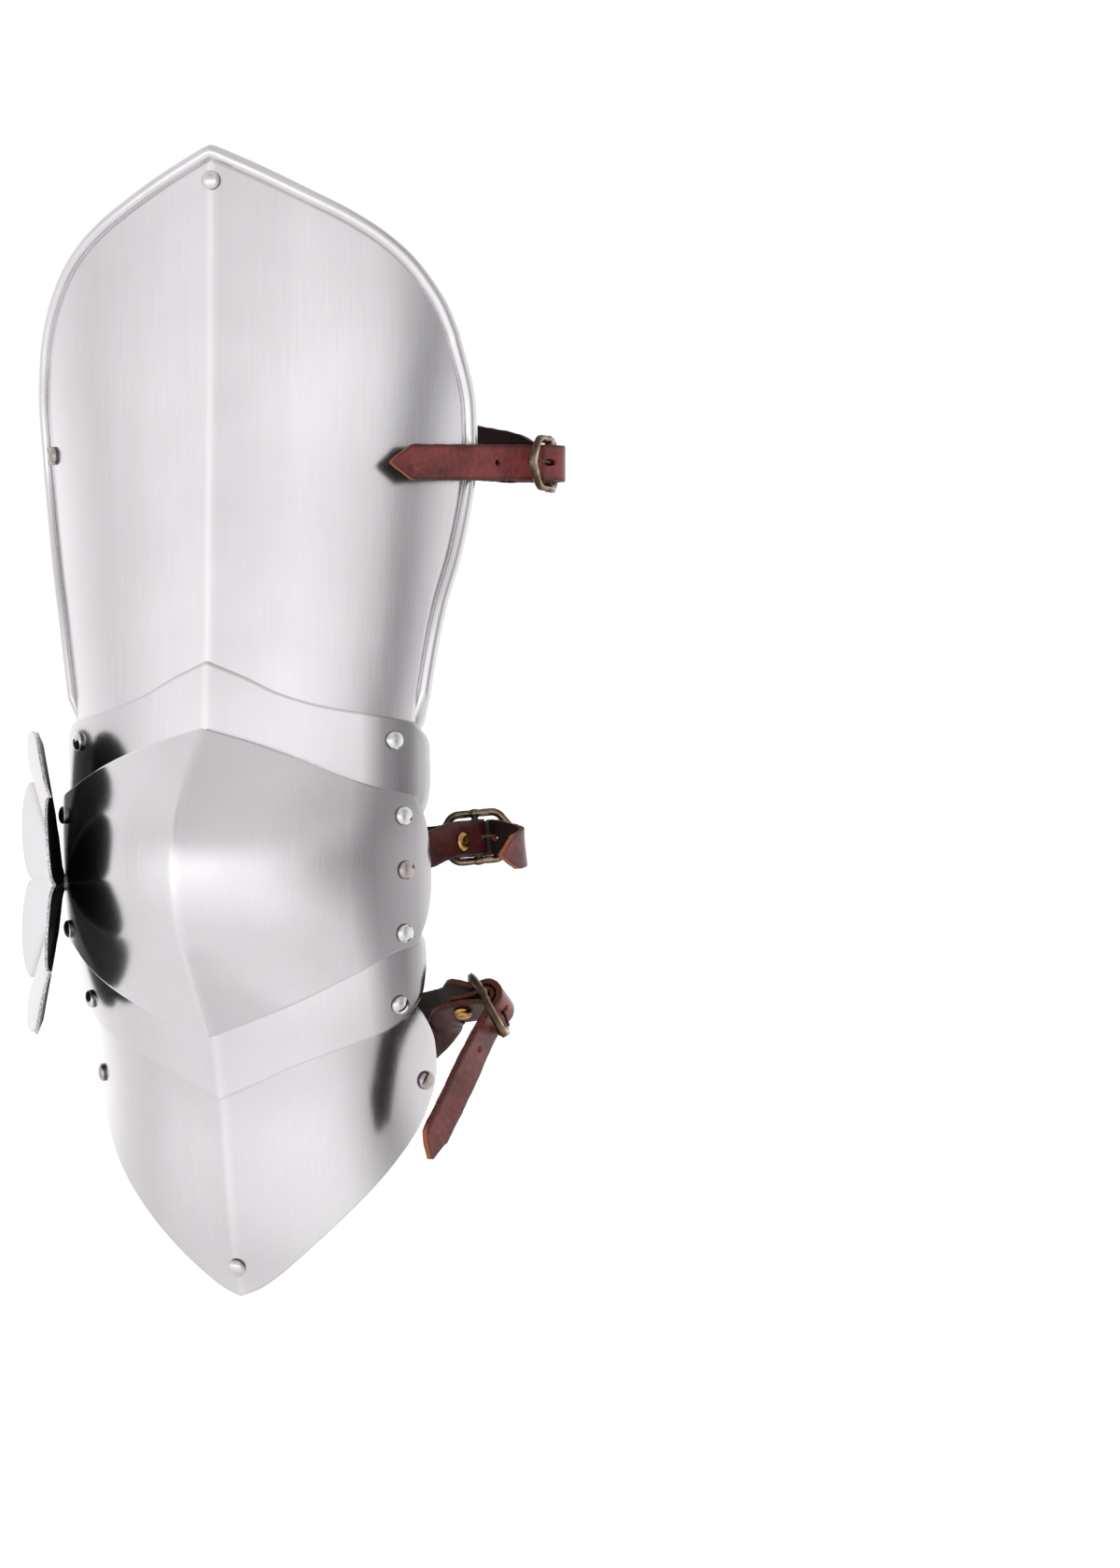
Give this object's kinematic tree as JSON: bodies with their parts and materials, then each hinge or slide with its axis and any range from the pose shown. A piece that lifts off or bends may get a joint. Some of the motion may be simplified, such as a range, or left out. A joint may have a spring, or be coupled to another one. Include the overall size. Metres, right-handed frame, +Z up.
{
  "type": "cuisse with poleyn",
  "caption": "Articulated steel thigh and knee plate with a ridge, rolled rim, overlapping lames, domed knee, petalled side wing, pointed shin plate and buckled leather straps.",
  "frame": {"origin": "centre of the thigh opening, at the height of the thigh strap, where the wearer's thigh passes", "axes": "+Z up along the leg towards the hip; +Y to the back of the leg, so the ridge faces -Y; +X to the inner side of the leg, where the straps buckle"},
  "size_m": [0.2612, 0.1807, 0.4945],
  "materials": {
    "plate_steel": "satin polished, fine vertical brushing",
    "rivet_steel": "polished domed heads",
    "dark_rivet": "darker, slightly browned steel",
    "antique_brass": "antiqued, with worn edges",
    "brass": "golden, lightly worn",
    "leather": "reddish brown strap leather with a lighter cut edge"
  },
  "bodies": {
    "thigh": {"cuisse_plate": "plate_steel", "rivet_cuisse_top": "rivet_steel", "rivet_thigh_outer": "dark_rivet", "rivet_thigh_inner": "rivet_steel", "strap_thigh": "leather", "chape_thigh": "leather", "buckle_thigh": "antique_brass", "tongue_thigh": "antique_brass", "brass_thigh": "brass"},
    "lame_above_knee": {"upper_lame": "plate_steel", "rivet_upper_lame_outer": "rivet_steel", "rivet_upper_lame_inner": "rivet_steel"},
    "knee": {"poleyn": "plate_steel", "fan_plate": "plate_steel", "rivet_fan": "rivet_steel", "rivet_knee_inner": "dark_rivet", "rivet_poleyn_top_outer": "rivet_steel", "rivet_poleyn_top_inner": "rivet_steel", "rivet_poleyn_low_outer": "rivet_steel", "rivet_poleyn_low_inner": "rivet_steel", "strap_knee": "leather", "chape_knee": "leather", "buckle_knee": "antique_brass", "tongue_knee": "antique_brass", "brass_knee": "brass"},
    "lame_below_knee": {"lower_lame": "plate_steel", "rivet_lower_lame_outer": "rivet_steel", "rivet_lower_lame_inner": "rivet_steel"},
    "shin": {"shin_plate": "plate_steel", "rivet_shin_point": "rivet_steel", "rivet_calf_outer": "dark_rivet", "rivet_calf_inner": "dark_rivet", "strap_calf": "leather", "chape_calf": "leather", "buckle_calf": "antique_brass", "tongue_calf": "antique_brass", "brass_calf": "brass"}
  },
  "joints": [
    {"name": "upper_lame_hinge", "type": "hinge", "parent": "thigh", "child": "lame_above_knee", "pos_m": [0, -0.028, -0.125], "axis": [1, 0, 0], "range_deg": [0, 15]},
    {"name": "poleyn_hinge", "type": "hinge", "parent": "lame_above_knee", "child": "knee", "pos_m": [0, -0.027, -0.157], "axis": [1, 0, 0], "range_deg": [0, 15]},
    {"name": "lower_lame_hinge", "type": "hinge", "parent": "knee", "child": "lame_below_knee", "pos_m": [0, -0.025, -0.207], "axis": [1, 0, 0], "range_deg": [0, 15]},
    {"name": "shin_plate_hinge", "type": "hinge", "parent": "lame_below_knee", "child": "shin", "pos_m": [0, -0.0186, -0.2376], "axis": [1, 0, 0], "range_deg": [0, 15]}
  ]
}
